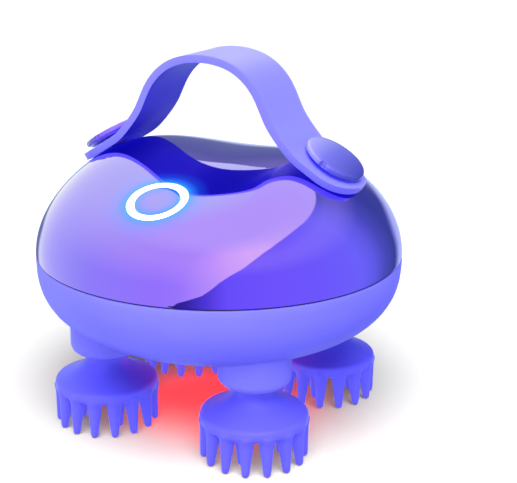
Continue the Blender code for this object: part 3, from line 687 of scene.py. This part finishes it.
class Nodes:
    """Short calls for building one material's nodes."""

    def __init__(self, name):
        self.material = bpy.data.materials.new(name)
        self.material.use_nodes = True
        self.tree = self.material.node_tree
        self.shader = self.tree.nodes["Principled BSDF"]
        self.place = self.add("ShaderNodeTexCoord").outputs["Object"]

    def add(self, kind, **values):
        node = self.tree.nodes.new(kind)
        for key, value in values.items():
            setattr(node, key, value)
        return node

    def join(self, source, target):
        self.tree.links.new(source, target)

    def set(self, **values):
        for key, value in values.items():
            self.shader.inputs[key.replace("_", " ")].default_value = value
        return self

    def noise(self, scale, detail=2.0, stretch=None):
        node = self.add("ShaderNodeTexNoise")
        node.inputs["Scale"].default_value = scale
        node.inputs["Detail"].default_value = detail
        source = self.place
        if stretch:
            mapping = self.add("ShaderNodeMapping")
            mapping.inputs["Scale"].default_value = stretch
            self.join(source, mapping.inputs["Vector"])
            source = mapping.outputs["Vector"]
        self.join(source, node.inputs["Vector"])
        return node.outputs["Fac"]

    def ramp(self, source, stops):
        node = self.add("ShaderNodeValToRGB")
        fill_ramp(node.color_ramp, stops)
        self.join(source, node.inputs["Fac"])
        return node.outputs["Color"]

    def spread(self, source, low, high):
        """A value from 0 to 1 as one between two others."""
        node = self.add("ShaderNodeMapRange")
        node.inputs["To Min"].default_value = low
        node.inputs["To Max"].default_value = high
        self.join(source, node.inputs["Value"])
        return node.outputs["Result"]

    def colour(self, source):
        self.join(source, self.shader.inputs["Base Color"])
        return self

    def glow(self, source, strength=1.0):
        self.join(source, self.shader.inputs["Emission Color"])
        self.set(Emission_Strength=strength)

    def roughness(self, source, low, high):
        self.join(self.spread(source, low, high), self.shader.inputs["Roughness"])
        return self

    def grain(self, scale):
        """A fine moulded grain."""
        node = self.add("ShaderNodeBump")
        node.inputs["Strength"].default_value = GRAIN_STRENGTH
        node.inputs["Distance"].default_value = GRAIN_DEPTH * MM
        self.join(self.noise(scale), node.inputs["Height"])
        self.join(node.outputs["Normal"], self.shader.inputs["Normal"])
        return self

    def distance_from(self, point, axis):
        """Distance in metres from a point, measured square to an axis."""
        offset = self.add("ShaderNodeVectorMath", operation="SUBTRACT")
        self.join(self.place, offset.inputs[0])
        offset.inputs[1].default_value = point
        cross = self.add("ShaderNodeVectorMath", operation="CROSS_PRODUCT")
        self.join(offset.outputs["Vector"], cross.inputs[0])
        cross.inputs[1].default_value = axis
        length = self.add("ShaderNodeVectorMath", operation="LENGTH")
        self.join(cross.outputs["Vector"], length.inputs[0])
        return length.outputs["Value"]


def scaled(colour, factor):
    return tuple(channel * factor for channel in colour)


def moulded(name, colour, rough, painted_glow=None, grain_scale=900.0, sheen=0.0):
    """A moulded plastic or silicone: faint colour drift, uneven polish and a fine grain.

    The painted glow is a blue emission over the whole surface: painted light that keeps the shaded sides
    blue.
    """
    nodes = Nodes(name)
    drift = nodes.noise(45.0, 3.0)
    nodes.colour(nodes.ramp(drift, ((0.3, scaled(colour, 0.95)), (0.7, scaled(colour, 1.05)))))
    nodes.roughness(nodes.noise(120.0, 3.0), rough - 0.06, rough + 0.06)
    nodes.grain(grain_scale)
    nodes.set(Sheen_Weight=sheen, Sheen_Roughness=SHEEN_ROUGHNESS)
    # Painted light: a blue emission that lifts the shaded sides.
    if painted_glow:
        nodes.glow(nodes.ramp(drift, ((0.3, scaled(painted_glow, 0.9)), (0.7, painted_glow))))
    return nodes.material


def tinted_mirror(name, colour):
    """Tinted mirror lacquer, with the light ring's glow painted round it: a painted emission halo over a
    painted dimming of the tint.
    """
    nodes = Nodes(name)
    tint = nodes.ramp(nodes.noise(18.0), ((0.3, scaled(colour, 0.97)), (0.7, colour)))
    nodes.roughness(nodes.noise(60.0), 0.02, 0.05)
    # Painted glow and painted shade round the light ring, by distance from its axis
    away = nodes.distance_from(dome_point(0, BUTTON_Y) * MM, dome_normal(0, BUTTON_Y))
    reach = nodes.add("ShaderNodeMapRange")
    reach.inputs["From Max"].default_value = HALO_REACH * MM
    nodes.join(away, reach.inputs["Value"])
    shade = nodes.add("ShaderNodeMix", data_type="RGBA", blend_type="MULTIPLY")
    shade.inputs["Factor"].default_value = 1.0
    nodes.join(tint, shade.inputs["A"])
    nodes.join(nodes.ramp(reach.outputs["Result"], HALO_SHADE), shade.inputs["B"])
    nodes.colour(shade.outputs["Result"])
    nodes.glow(nodes.ramp(reach.outputs["Result"], HALO_GLOW))
    nodes.set(Metallic=1.0)
    return nodes.material


def tinted_cap(name):
    """Clear lacquer over violet, with painted reflection and shade: light on each cap's inner side and
    deepening towards the outer ends of the strap.
    """
    nodes = Nodes(name)
    split = nodes.add("ShaderNodeSeparateXYZ")
    nodes.join(nodes.place, split.inputs["Vector"])
    across = nodes.add("ShaderNodeMapRange")
    across.inputs["From Min"].default_value = -CAP_SPAN * MM
    across.inputs["From Max"].default_value = CAP_SPAN * MM
    nodes.join(split.outputs["X"], across.inputs["Value"])
    # Painted reflection and shade: lighter and darker bands across the caps by their place along X
    nodes.colour(nodes.ramp(across.outputs["Result"], CAP_PAINTED_REFLECTIONS))
    nodes.roughness(nodes.noise(60.0), 0.12, 0.18)
    nodes.set(Metallic=0.1, Coat_Weight=1.0, Coat_Roughness=0.03)
    return nodes.material


def metal(name, colour, rough, stretch):
    nodes = Nodes(name)
    brushed = nodes.noise(300.0, 3.0, stretch)
    nodes.colour(nodes.ramp(brushed, ((0.25, scaled(colour, 0.85)), (0.75, colour))))
    nodes.roughness(brushed, rough - 0.08, rough + 0.08)
    nodes.set(Metallic=1.0)
    return nodes.material


def strap_silicone(name):
    """Silicone with painted shade: pale on the strap's outside, and a deeper violet with a weaker glow and
    less sheen on its inner side, which is painted shade.
    """
    nodes = Nodes(name)
    middle = nodes.add("ShaderNodeVectorMath", operation="SUBTRACT")
    nodes.join(nodes.place, middle.inputs[0])
    middle.inputs[1].default_value = (0, 0, STRAP_MIDDLE_Z * MM)
    away = nodes.add("ShaderNodeVectorMath", operation="NORMALIZE")
    nodes.join(middle.outputs["Vector"], away.inputs[0])
    facing_out = nodes.add("ShaderNodeVectorMath", operation="DOT_PRODUCT")
    nodes.join(away.outputs["Vector"], facing_out.inputs[0])
    nodes.join(nodes.add("ShaderNodeTexCoord").outputs["Normal"], facing_out.inputs[1])
    # Painted shade: the sides facing the strap's axis get a darker colour, a weaker glow and less sheen
    outside = nodes.add("ShaderNodeMapRange")
    outside.inputs["From Min"].default_value = STRAP_TURN_LOW
    outside.inputs["From Max"].default_value = STRAP_TURN_HIGH
    nodes.join(facing_out.outputs["Value"], outside.inputs["Value"])
    nodes.colour(nodes.ramp(outside.outputs["Result"], ((0.0, STRAP_PAINTED_SHADE), (1.0, STRAP_VIOLET))))
    painted_glow = ((0.0, scaled(SILICONE_PAINTED_GLOW, 0.6)), (1.0, SILICONE_PAINTED_GLOW))
    nodes.glow(nodes.ramp(outside.outputs["Result"], painted_glow))
    nodes.set(Sheen_Roughness=SHEEN_ROUGHNESS)
    nodes.join(nodes.spread(outside.outputs["Result"], 0.05, 0.8), nodes.shader.inputs["Sheen Weight"])
    nodes.roughness(nodes.noise(120.0, 3.0), 0.4, 0.5)
    nodes.grain(700.0)
    return nodes.material


def glowing(name, colour, strength):
    """A lit light guide, with brighter and duller patches at random."""
    nodes = Nodes(name)
    patches = nodes.noise(250.0)
    nodes.colour(nodes.ramp(patches, ((0.3, scaled(colour, 0.95)), (0.7, colour))))
    nodes.glow(nodes.ramp(patches, ((0.3, scaled(colour, 0.93)), (0.7, colour))), strength)
    nodes.set(Roughness=0.3)
    return nodes.material


def circuit(name):
    nodes = Nodes(name)
    cells = nodes.add("ShaderNodeTexBrick")
    cells.inputs["Scale"].default_value = 260.0
    cells.inputs["Color1"].default_value = (0.01, 0.16, 0.05, 1)
    cells.inputs["Color2"].default_value = (0.01, 0.20, 0.07, 1)
    cells.inputs["Mortar"].default_value = (0.30, 0.24, 0.06, 1)
    cells.inputs["Mortar Size"].default_value = 0.01
    nodes.join(nodes.place, cells.inputs["Vector"])
    nodes.colour(cells.outputs["Color"])
    nodes.roughness(nodes.noise(200.0), 0.35, 0.5)
    return nodes.material


GRAIN_STRENGTH = 0.25
GRAIN_DEPTH = 0.03
SHEEN_ROUGHNESS = 0.35

SOFT_VIOLET = (0.20, 0.19, 1.0)
STRAP_VIOLET = (0.215, 0.205, 1.0)
# Painted shade on the strap's inner side
STRAP_PAINTED_SHADE = (0.07, 0.06, 0.85)
# The strap's outside and its painted-shade inner side are told apart by how far they face away from this
# height on its axis.
STRAP_MIDDLE_Z = 96.0
STRAP_TURN_LOW = -0.45
STRAP_TURN_HIGH = -0.10
HEAD_VIOLET = (0.125, 0.112, 1.0)
MIRROR_VIOLET = (0.46, 0.31, 1.0)
# Painted blue emission on the silicones, lifting their shaded sides
SILICONE_PAINTED_GLOW = (0.004, 0.003, 0.28)
# Painted reflection and shade across both caps, from the left end of this span to the right end
CAP_SPAN = 50.0
CAP_PAINTED_REFLECTIONS = ((0.0, (0.08, 0.04, 0.40)), (0.16, (0.22, 0.13, 0.85)), (0.5, (0.30, 0.24, 1.0)),
               (0.82, (0.46, 0.44, 1.0)), (0.90, (0.18, 0.17, 0.80)), (1.0, (0.04, 0.04, 0.44)))

# Painted glow of the light ring in the lacquer, and painted shade of its tint, over the share of its reach
# from the ring's axis
HALO_REACH = 16.0
HALO_GLOW = ((0.20, (0.0, 0.0, 0.0)), (0.34, (0.01, 0.08, 0.25)), (0.44, (0.03, 0.30, 0.90)),
             (0.60, (0.03, 0.36, 1.0)), (0.68, (0.02, 0.16, 0.60)), (0.80, (0.0, 0.04, 0.20)),
             (1.0, (0.0, 0.0, 0.0)))
HALO_SHADE = ((0.20, (1, 1, 1)), (0.34, (0.7, 0.8, 0.9)), (0.44, (0.25, 0.35, 0.5)),
              (0.60, (0.15, 0.3, 0.4)), (0.68, (0.52, 0.64, 0.78)), (0.80, (0.86, 0.92, 0.97)),
              (1.0, (1, 1, 1)))

MATERIALS = {
    "violet_gloss": tinted_mirror("violet_gloss", MIRROR_VIOLET),
    "button_gloss": tinted_mirror("button_gloss", MIRROR_VIOLET),
    "cap_gloss": tinted_cap("cap_gloss"),
    "soft_violet": moulded("soft_violet", SOFT_VIOLET, 0.5, SILICONE_PAINTED_GLOW),
    "strap_silicone": strap_silicone("strap_silicone"),
    "head_silicone": moulded("head_silicone", HEAD_VIOLET, 0.45, SILICONE_PAINTED_GLOW, 1100.0, 0.2),
    "dark_rubber": moulded("dark_rubber", (0.02, 0.015, 0.12), 0.6),
    "white_light": glowing("white_light", (0.96, 0.99, 1.0), 1.1),
    "red_lens": glowing("red_lens", (1.0, 0.02, 0.01), 4.0),
    "white_plastic": moulded("white_plastic", (0.8, 0.8, 0.78), 0.4),
    "grey_plastic": moulded("grey_plastic", (0.12, 0.12, 0.14), 0.5),
    "steel": metal("steel", (0.62, 0.63, 0.66), 0.28, (1, 1, 12)),
    "bronze": metal("bronze", (0.62, 0.40, 0.18), 0.35, (1, 1, 8)),
    "board_green": circuit("board_green"),
    "battery_wrap": moulded("battery_wrap", (0.03, 0.16, 0.35), 0.3),
}

# Slots whose strong colour is kept from tinting the paper under the object
CLEAR_OF_PAPER = ("soft_violet", "head_silicone")


def place(piece, body, nodes, slot):
    """Finish one piece: its material, the body it rides on and the CAD nodes it stands for."""
    piece.visible_diffuse = slot not in CLEAR_OF_PAPER
    piece.data.materials.clear()
    piece.data.materials.append(MATERIALS[slot])
    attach(piece, body)
    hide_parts(*nodes)


def finish_cad_nodes():
    """Give each CAD node that stays the material of its slot in the record."""
    slots = {row["node"]: row["material_slot"] for row in frame["record"]["subparts"]}
    for name, obj in frame["nodes"].items():
        obj.data.materials.clear()
        obj.data.materials.append(MATERIALS[slots[name]])


def build_object():
    place(make_upper_shell(), "casing", ["upper_shell"], "violet_gloss")
    place(make_lower_shell(), "casing", ["lower_shell"], "soft_violet")
    place(make_seam_ring(), "casing", ["seam_gasket"], "dark_rubber")
    place(make_strap(), "casing", ["strap_handle"], "strap_silicone")
    for name, side in SIDES.items():
        place(make_cap(name, side), "casing", ["strap_cap_" + name], "cap_gloss")
    place(make_light_ring(), "casing", ["button_light_ring"], "white_light")
    place(make_button(), "button", ["power_button"], "button_gloss")
    place(make_lens(), "casing", ["lamp_lens"], "red_lens")
    place(make_plug(), "plug", ["port_plug"], "strap_silicone")
    place(make_port(), "casing", ["charging_port"], "steel")
    meshes = {
        "massage_head": (make_head_mesh(), "head_", "head_silicone"),
        "head_hub": (make_hub_mesh(), "head_", "white_plastic"),
        "spindle_shaft": (make_shaft_mesh(), "spindle_", "steel"),
        "spindle_seal": (make_seal_mesh(), None, "dark_rubber"),
    }
    for kind, (mesh, body, slot) in meshes.items():
        for head, axis in HEADS.items():
            piece = link("fine_" + kind + "_" + head, mesh)
            piece.location = (axis.x * MM, axis.y * MM, 0)
            place(piece, body + head if body else "casing", [kind + "_" + head], slot)


# Studio

def area_light(name, location, target, size, power, colour=(1, 1, 1)):
    data = bpy.data.lights.new(name, "AREA")
    data.shape = "DISK"
    data.size = size
    data.energy = power
    data.color = colour
    light = bpy.data.objects.new(name, data)
    light.location = location
    light.rotation_euler = (Vector(target) - Vector(location)).to_track_quat("-Z", "Y").to_euler()
    light.visible_glossy = False
    light.visible_camera = False
    bpy.context.scene.collection.objects.link(light)
    return light


def direction(azimuth, elevation):
    """Unit vector towards a place in the studio; azimuth 0 is the front, 90 the object's right."""
    a, e = math.radians(azimuth), math.radians(elevation)
    return Vector((math.sin(a) * math.cos(e), -math.cos(a) * math.cos(e), math.sin(e)))


CAMERA_AZIMUTH = 28.68
CAMERA_ELEVATION = 17.67
CAMERA_DISTANCE = 382.1
CAMERA_TARGET = Vector((0, 0, 56))
CAMERA_LENS = 80.25
CAMERA_SHIFT = (0.0764, 0.0131)


def make_camera():
    data = bpy.data.cameras.new("camera")
    data.sensor_width = 36.0
    data.lens = CAMERA_LENS
    data.shift_x, data.shift_y = CAMERA_SHIFT
    data.clip_start = 0.01
    camera = bpy.data.objects.new("camera", data)
    back = direction(CAMERA_AZIMUTH, CAMERA_ELEVATION)
    camera.location = (CAMERA_TARGET + back * CAMERA_DISTANCE) * MM
    camera.rotation_euler = (-back).to_track_quat("-Z", "Y").to_euler()
    bpy.context.scene.collection.objects.link(camera)
    bpy.context.scene.camera = camera


FLOOR_HALF_SIZE = 4.0


def make_floor():
    mesh = bpy.data.meshes.new("floor")
    work = bmesh.new()
    bmesh.ops.create_grid(work, x_segments=1, y_segments=1, size=FLOOR_HALF_SIZE)
    work.to_mesh(mesh)
    work.free()
    floor = link("floor", mesh)
    nodes = Nodes("floor_paper")
    nodes.colour(nodes.ramp(nodes.noise(3.0), ((0.3, (0.9, 0.9, 0.9)), (0.7, (0.93, 0.93, 0.93)))))
    nodes.set(Roughness=0.8)
    mesh.materials.append(nodes.material)
    floor.visible_glossy = False
    floor.visible_diffuse = False


# What the lacquer reflects, as light by azimuth in degrees: 0 is towards the camera's side.
# A pale lilac card fills the left and the top, and turns pink where it meets the violet card.
PALE_LOW = ((-166, (1.25, 1.50, 0.97)), (-150, (1.10, 1.32, 0.97)), (-128, (0.85, 1.05, 0.98)),
            (-98, (0.65, 0.80, 0.97)), (-83, (0.61, 0.66, 0.98)), (-53, (0.62, 0.57, 0.99)),
            (-38, (0.64, 0.53, 0.99)), (-23, (0.70, 0.57, 0.99)), (-8, (0.95, 0.80, 0.98)),
            (7, (1.2, 1.0, 0.98)), (150, (1.10, 1.40, 0.95)), (180, (1.20, 1.60, 0.95)))
PALE_HIGH = ((-166, (0.95, 1.30, 0.96)), (-128, (0.89, 1.08, 0.98)), (-98, (0.84, 0.92, 0.97)),
             (-68, (0.85, 0.78, 0.97)), (-38, (0.86, 0.71, 0.98)), (-23, (0.89, 0.74, 0.98)),
             (-8, (1.11, 0.88, 0.99)), (7, (1.35, 1.10, 0.98)), (22, (1.47, 1.24, 0.98)),
             (37, (1.45, 1.27, 0.98)), (52, (1.30, 1.20, 0.98)), (97, (1.0, 1.02, 0.98)),
             (180, (0.96, 1.10, 0.98)))
PALE_TOP = (1.0, 0.97, 0.99)
# The violet card on the right turns navy and then grey behind the object.
VIOLET = ((-180, (0.19, 0.25, 0.37)), (-167, (0.19, 0.25, 0.37)), (-33, (0.04, 0.03, 0.20)),
          (-20, (0.07, 0.05, 0.34)), (-8, (0.16, 0.12, 0.68)), (5, (0.30, 0.24, 0.98)),
          (30, (0.34, 0.27, 0.98)), (60, (0.34, 0.30, 1.0)), (95, (0.32, 0.38, 0.97)),
          (108, (0.24, 0.31, 0.78)), (120, (0.14, 0.20, 0.50)), (135, (0.08, 0.13, 0.33)),
          (150, (0.08, 0.12, 0.32)), (156, (0.19, 0.25, 0.37)), (180, (0.19, 0.25, 0.37)))
# Elevation in degrees of the violet card's top edge.
VIOLET_EDGE = ((-180, 42), (-172, 36), (-160, -20), (-150, -60), (-140, -90), (-33, -90), (-32, -17),
               (-20, -8.5), (-10, 0), (-5, 8), (0, 18), (7, 28), (15, 35), (22, 42), (30, 48),
               (37, 51.5), (45, 54), (52, 56), (60, 57), (75, 58), (90, 56), (110, 53), (130, 51),
               (150, 50), (158, 44), (180, 42))
EDGE_SOFTNESS = 0.003
BAND_WHITE = 0.16
FLOOR_GLOW = (0.60, 0.75, 0.95)
RIM_SHADE = (0.20, 0.25, 0.42)
BACKDROP = (0.97, 0.97, 0.98)
# Soft light on everything else, by azimuth and by the share of the way from nadir to zenith.
# It comes from the pale paper below the horizon, which is why it leaves the paper itself alone.
ROOM_AROUND = ((-180, (0.55, 0.55, 0.55)), (-120, (0.80, 0.80, 0.80)), (-60, (1.0, 1.0, 1.0)),
               (0, (1.05, 1.05, 1.05)), (60, (1.0, 1.0, 1.0)), (120, (1.15, 1.15, 1.15)),
               (180, (0.55, 0.55, 0.55)))
ROOM_UPWARD = ((0.0, (0.36, 0.36, 0.36)), (0.25, (0.60, 0.60, 0.60)), (0.42, (1.45, 1.45, 1.45)),
               (0.49, (1.45, 1.45, 1.45)), (0.51, (0.03, 0.03, 0.03)), (1.0, (0.03, 0.03, 0.03)))


class Sky:
    """Short calls for building the world's nodes."""

    def __init__(self):
        self.world = bpy.data.worlds.new("studio")
        self.world.use_nodes = True
        self.tree = self.world.node_tree
        way = self.tree.nodes.new("ShaderNodeTexCoord").outputs["Generated"]
        x = self.along(way, direction(CAMERA_AZIMUTH + 90, 0))
        y = self.along(way, direction(CAMERA_AZIMUTH, 0))
        turn = self.math("ARCTAN2", x, y)
        self.azimuth = self.span(turn, -math.pi, math.pi)
        self.height = self.along(way, (0, 0, 1))

    def join(self, source, socket):
        if isinstance(source, (float, int)):
            socket.default_value = source
        elif isinstance(source, tuple):
            socket.default_value = (*source, 1.0)
        else:
            self.tree.links.new(source, socket)

    def along(self, way, vector):
        """How far a direction reaches along a fixed vector."""
        node = self.tree.nodes.new("ShaderNodeVectorMath")
        node.operation = "DOT_PRODUCT"
        self.join(way, node.inputs[0])
        node.inputs[1].default_value = vector
        return node.outputs["Value"]

    def math(self, operation, first, second):
        node = self.tree.nodes.new("ShaderNodeMath")
        node.operation = operation
        self.join(first, node.inputs[0])
        self.join(second, node.inputs[1])
        return node.outputs["Value"]

    def span(self, value, low, high):
        """Where a value lies between two others, from 0 to 1."""
        node = self.tree.nodes.new("ShaderNodeMapRange")
        self.join(value, node.inputs["Value"])
        self.join(low, node.inputs["From Min"])
        self.join(high, node.inputs["From Max"])
        return node.outputs["Result"]

    def ramp(self, source, stops, curve="LINEAR"):
        node = self.tree.nodes.new("ShaderNodeValToRGB")
        fill_ramp(node.color_ramp, stops, curve)
        self.join(source, node.inputs["Fac"])
        return node.outputs["Color"]

    def around(self, stops, curve="LINEAR"):
        """Colours by azimuth in degrees."""
        shares = [((degrees + 180) / 360, colour) for degrees, colour in stops]
        return self.ramp(self.azimuth, shares, curve)

    def mix(self, factor, first, second, mode="MIX"):
        node = self.tree.nodes.new("ShaderNodeMix")
        node.data_type = "RGBA"
        node.blend_type = mode
        self.join(factor, node.inputs["Factor"])
        self.join(first, node.inputs["A"])
        self.join(second, node.inputs["B"])
        return node.outputs["Result"]

    def above(self, low, high):
        """0 below one elevation in degrees, and 1 above another."""
        return self.span(self.height, math.sin(math.radians(low)), math.sin(math.radians(high)))


def pale_card(sky):
    """The pale card, with a dark strip low behind the left side for the dome's rim."""
    pale = sky.mix(sky.above(10, 45), sky.around(PALE_LOW), sky.around(PALE_HIGH))
    pale = sky.mix(sky.above(55, 75), pale, PALE_TOP)
    strip = sky.around(((-166, (0, 0, 0)), (-164, (1, 1, 1)), (-152, (1, 1, 1)), (-146, (0, 0, 0))))
    return sky.mix(sky.math("MULTIPLY", strip, sky.above(-4, -8)), pale, RIM_SHADE)


def violet_card(sky):
    """The violet card, with a lighter band across it and bright paper low behind the object."""
    band = sky.math("MULTIPLY", sky.above(25, 38), sky.above(58, 46))
    violet = sky.around(VIOLET)
    violet = sky.mix(band, violet, sky.mix(BAND_WHITE, violet, (1.0, 1.0, 1.0)))
    behind = sky.around(((-166, (1, 1, 1)), (-165, (0, 0, 0)), (138, (0, 0, 0)), (148, (1, 1, 1))))
    return sky.mix(sky.math("MULTIPLY", behind, sky.above(3, -4)), violet, FLOOR_GLOW)


def make_world():
    """Pale room light, and a studio of coloured cards for the mirror-like lacquer to reflect."""
    sky = Sky()
    edge = sky.around([(azimuth, ((math.sin(math.radians(elevation)) + 1) / 2,) * 3)
                       for azimuth, elevation in VIOLET_EDGE], "B_SPLINE")
    height = sky.span(sky.height, -1, 1)
    inside = sky.span(sky.math("SUBTRACT", edge, height), -EDGE_SOFTNESS, EDGE_SOFTNESS)
    cards = sky.mix(inside, pale_card(sky), violet_card(sky))
    path = sky.tree.nodes.new("ShaderNodeLightPath")
    room = sky.mix(1.0, sky.around(ROOM_AROUND), sky.ramp(height, ROOM_UPWARD), "MULTIPLY")
    room = sky.mix(path.outputs["Is Camera Ray"], room, BACKDROP)
    direct = sky.math("GREATER_THAN", 0.5, path.outputs["Diffuse Depth"])
    reflected = sky.math("MULTIPLY", path.outputs["Is Glossy Ray"], direct)
    sky.join(sky.mix(reflected, room, cards), sky.tree.nodes["Background"].inputs["Color"])
    bpy.context.scene.world = sky.world


# Powers in watts, except the sun's; azimuths from the camera's side, and angles in degrees
SUN_POWER = 4.5
SUN_WIDTH = 52
SUN_ELEVATION = 62
SIDE_LIGHTS = (("left_light", -70, 6, 3.0), ("front_light", 6, 5, 0.8))
STRAP_LIGHT_POWER = 1.5
LAMP_POWER = 0.012
LAMP_RED = (1.0, 0.006, 0.004)
LAMP_SPREAD = 125


def light_only(light, names):
    """Keep a light for the named pieces alone."""
    lit = bpy.data.collections.new(light.name)
    for name in names:
        lit.objects.link(bpy.data.objects[name])
    light.light_linking.receiver_collection = lit


def make_sun():
    """Broad light from above the camera."""
    data = bpy.data.lights.new("top_light", "SUN")
    data.energy = SUN_POWER
    data.angle = math.radians(SUN_WIDTH)
    sun = bpy.data.objects.new("top_light", data)
    sun.rotation_euler = direction(CAMERA_AZIMUTH + 4, SUN_ELEVATION).to_track_quat("Z", "Y").to_euler()
    sun.visible_glossy = False
    bpy.context.scene.collection.objects.link(sun)


def make_lights():
    make_sun()
    for name, azimuth, elevation, power in SIDE_LIGHTS:
        way = direction(CAMERA_AZIMUTH + azimuth, elevation)
        area_light(name, way, (0, 0, 0.04), 0.5, power, (1.0, 0.98, 1.0))
    behind = direction(CAMERA_AZIMUTH + 172, 30)
    rim = area_light("strap_light", behind, (0, 0, 0.11), 0.6, STRAP_LIGHT_POWER)
    rim.visible_glossy = True
    light_only(rim, ["strap"])
    lens = (0, 0, LAMP_Z * MM)
    lamp = area_light("red_lamp", lens, (0, 0, 0), 2 * LENS_RADIUS * MM, LAMP_POWER, LAMP_RED)
    lamp.data.spread = math.radians(LAMP_SPREAD)


make_camera()
finish_cad_nodes()
build_object()
make_floor()
make_world()
make_lights()
bpy.context.scene.view_settings.view_transform = "Standard"
